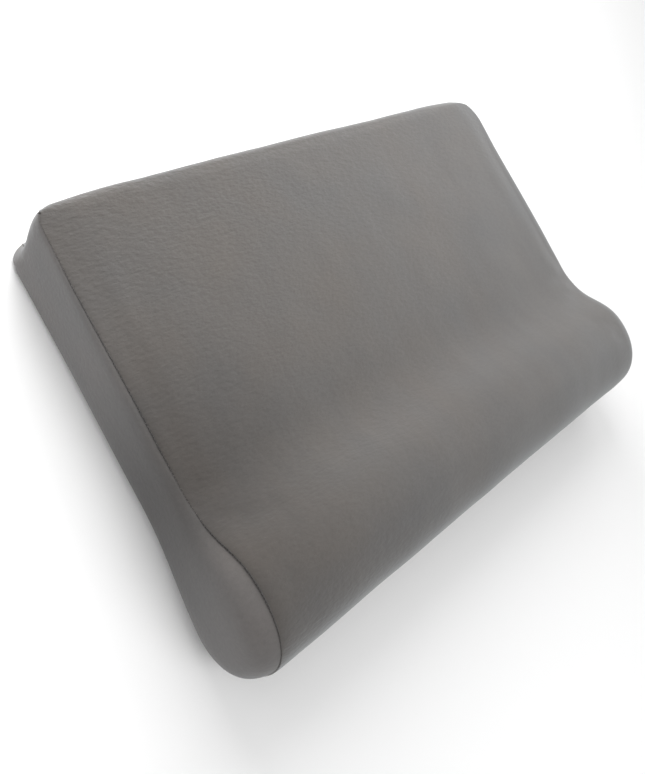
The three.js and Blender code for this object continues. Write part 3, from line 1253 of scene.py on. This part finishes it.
@dataclass
class Studio:
    """The pale floor, the soft light and the camera at the photograph's viewing angle."""

    aim: tuple[float, float, float] = (-96.24, 10.16, 40.0)
    distance: float = 770.92
    yaw: float = 1.478
    pitch: float = -0.8621
    roll: float = 0.9873
    focal_px: float = 809.547
    frame_px: tuple[int, int] = (645, 774)
    centre_px: tuple[float, float] = (-14.713, -38.317)
    floor_colour: str = "F9F9F9"
    floor_reach: float = 6.0  # metres
    lights: tuple[SoftBox, ...] = (
        SoftBox("key_back", 90.0, 38.0, 7.2, distance=0.85),
        SoftBox("back_low", 90.0, 20.0, 4.0),
        SoftBox("back_left", 135.0, 20.0, 1.8),
        SoftBox("back_right", 35.0, 35.0, 5.0, distance=1.6, size=1.2),
        SoftBox("front_high", 262.0, 50.0, 4.3),
        SoftBox("front_low", 270.0, 20.0, 0.5),
        SoftBox("left_high", 180.0, 50.0, 1.2),
    )
    lit_height: float = 40.0
    world_colour: str = "FFFFFF"
    world_strength: float = 0.5

    def camera(self) -> None:
        """Makes the camera, at the photograph's angle and with its roll."""
        forward = Vector((
            math.sin(self.yaw) * math.cos(self.pitch),
            math.cos(self.yaw) * math.cos(self.pitch),
            math.sin(self.pitch),
        ))
        level = forward.cross(Vector((0, 0, 1))).normalized()
        upright = level.cross(forward)
        right = level * math.cos(self.roll) + upright * math.sin(self.roll)
        up = upright * math.cos(self.roll) - level * math.sin(self.roll)
        data = bpy.data.cameras.new("camera")
        longest = max(self.frame_px)
        data.sensor_width = 36.0
        data.lens = self.focal_px / longest * data.sensor_width
        data.shift_x = -self.centre_px[0] / longest
        data.shift_y = self.centre_px[1] / longest
        data.clip_start = 0.01
        camera = bpy.data.objects.new("camera", data)
        place = (Vector(self.aim) - forward * self.distance) * MM
        turn = Matrix((right, up, -forward)).transposed().to_4x4()
        camera.matrix_world = Matrix.Translation(place) @ turn
        bpy.context.scene.collection.objects.link(camera)
        bpy.context.scene.camera = camera

    def floor(self) -> None:
        """Makes the floor."""
        material = new_material("matt white paper sweep")  # gives the eye bare white, and soft grey shade
        shader = add_node(material.node_tree, "ShaderNodeBsdfPrincipled", {
            "Base Color": srgb(self.floor_colour), "Roughness": 0.9,
        })
        add_node(material.node_tree, "ShaderNodeOutputMaterial", {"Surface": shader.outputs[0]})
        mesh = bpy.data.meshes.new("floor")
        reach = self.floor_reach
        corners = [(x * reach, y * reach, 0) for x, y in ((-1, -1), (1, -1), (1, 1), (-1, 1))]
        mesh.from_pydata(corners, [], [(0, 1, 2, 3)])
        mesh.materials.append(material)
        floor = new_object("floor", mesh)
        floor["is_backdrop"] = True

    def light(self) -> None:
        """Makes the softboxes and the even light all round."""
        target = Vector((0.0, 0.0, self.lit_height * MM))
        for box in self.lights:
            data = bpy.data.lights.new(box.name, "AREA")
            data.shape = "DISK"
            data.size = box.size
            data.energy = box.power
            lamp = bpy.data.objects.new(box.name, data)
            lamp.location = target + box.distance * box.towards
            lamp.rotation_euler = (-box.towards).to_track_quat("-Z", "Y").to_euler()
            bpy.context.scene.collection.objects.link(lamp)
        world = bpy.data.worlds.new("studio")
        world.use_nodes = True
        sky = world.node_tree.nodes["Background"].inputs
        sky["Color"].default_value = srgb(self.world_colour)
        sky["Strength"].default_value = self.world_strength
        bpy.context.scene.world = world

    def build(self) -> None:
        """Makes all of it, and shows tones as they are lit."""
        self.camera()
        self.floor()
        self.light()
        bpy.context.scene.view_settings.view_transform = "Standard"


def corners(box: tuple[Vector, Vector]) -> list[list[float]]:
    """Turns a box's two corners into plain lists."""
    return [[float(value) for value in corner] for corner in box]


def report(piece: bpy.types.Object) -> None:
    """Logs a finished piece."""
    log.info("%s: %d faces", piece.name, len(piece.data.polygons))


def main() -> None:
    """Builds the pillow's pieces in order and reports each one."""
    logging.basicConfig(level=logging.INFO, format="%(name)s: %(message)s")
    form = PillowForm()
    profile = form.profile()
    Studio().build()
    # Both knits carry painted shade round a point at the near end's waist.
    wrap_knit = BrushedKnit(
        "brushed velour, polyester knit", "595450", "565351", Nap.ALONG_U, painted_shade_share=0.28,
    ).material()
    # The panels' nap lies the other way, with weaker sheen than the wrap's; their lighter base colour is
    # painted light on the end faces.
    panel_knit_painted_light = BrushedKnit(
        "brushed velour panel, polyester knit", "6C6866", "6A6867", Nap.ALONG_V, relief_mm=0.35,
        sheen=0.3, painted_shade_at=(-310.0, -50.0, 35.0), painted_shade_reach=135.0, painted_shade_share=0.34,
    ).material()

    wrap = FilledBody(form, profile, wrap_knit).build()
    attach(wrap, "root")
    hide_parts("filled_body")
    report(wrap)

    for end in End:
        panel = EndPanel(form, profile, end, panel_knit_painted_light).build()
        node = f"end_panel_{end.name.lower()}"
        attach(panel, "root")
        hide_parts(node)
        report(panel)

    thread = SewingThread().material()
    # The knot's thread is the sewing thread in a much darker colour: painted shade in the knot.
    knot_painted_shade = SewingThread("knotted polyester sewing thread", "3A3634").material()
    stitches = [SeamStitches(form, profile, end, thread).build() for end in End]
    for trim in [*stitches, SeamKnot(knot_painted_shade).build()]:
        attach(trim, "root")
        report(trim)

    {"cad": corners(CAD_BOX), "visual": corners(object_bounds())}


if __name__ == "__main__":
    main()
